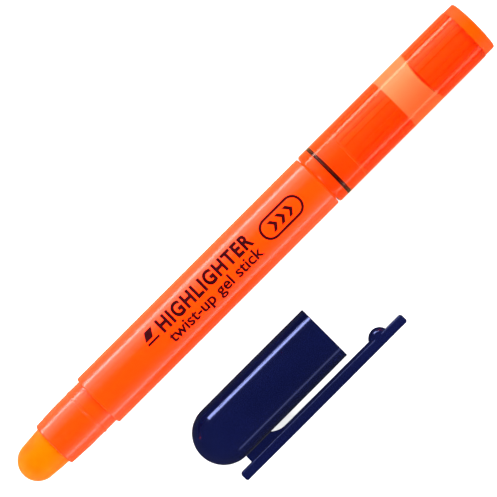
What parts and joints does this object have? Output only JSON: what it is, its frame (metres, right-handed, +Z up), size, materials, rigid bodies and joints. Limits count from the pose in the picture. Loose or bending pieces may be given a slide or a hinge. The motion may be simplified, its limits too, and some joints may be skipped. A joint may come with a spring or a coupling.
{
  "type": "twist-up gel highlighter",
  "caption": "Twist-up gel stick highlighter lying beside its clip cap: turning the see-through rear knob drives the gel stick in and out of the nozzle.",
  "frame": {"origin": "on the table under the middle of the box round the pen and the cap together", "axes": "+X along the pen from the gel tip to the knob, +Z up, the cap and its clip on the -Y side"},
  "size_m": [0.1262, 0.0382, 0.0127],
  "materials": {
    "orange_shell": "glossy translucent moulded plastic",
    "orange_clear": "glossy clear tinted plastic",
    "orange_inner": "satin translucent moulded plastic",
    "amber_gel": "smooth waxy gel",
    "natural_plastic": "unpigmented moulded plastic",
    "dark_rubber": "soft matt rubber",
    "navy_plastic": "glossy moulded plastic",
    "dark_ink": "thin screen-printed ink"
  },
  "bodies": {
    "barrel": {"barrel": "orange_shell", "nozzle_sleeve": "orange_shell", "rear_bushing": "orange_inner", "friction_ring": "dark_rubber"},
    "knob": {"rear_knob": "orange_clear", "drive_sleeve": "orange_inner", "knob_end_plug": "orange_inner", "drive_spindle": "natural_plastic"},
    "stick": {"gel_stick": "amber_gel", "stick_carrier": "natural_plastic"},
    "cap": {"cap_shell": "navy_plastic"},
    "clip": {"cap_clip": "navy_plastic"}
  },
  "joints": [
    {"name": "knob_twist", "type": "hinge", "parent": "barrel", "child": "knob", "pos_m": [0.0193, 0.013, 0.00607], "axis": [-1, 0, 0], "range_deg": [-864, 1575]},
    {"name": "stick_feed", "type": "slide", "parent": "barrel", "child": "stick", "axis": [-1, 0, 0], "range_m": [-0.0096, 0.0175]},
    {"name": "cap_draw", "type": "slide", "parent": "barrel", "child": "cap", "axis": [-1, 0, 0], "range_m": [0, 0.0625]},
    {"name": "clip_flex", "type": "hinge", "parent": "cap", "child": "clip", "pos_m": [-0.02925, -0.01543, 0.00633], "axis": [0, 0, -1], "range_deg": [0, 4], "stiffness_Nm_per_rad": 1.5}
  ],
  "couplings": [
    {"joint": "stick_feed", "follows": "knob_twist", "m_per_rad": 0.00063662}
  ]
}
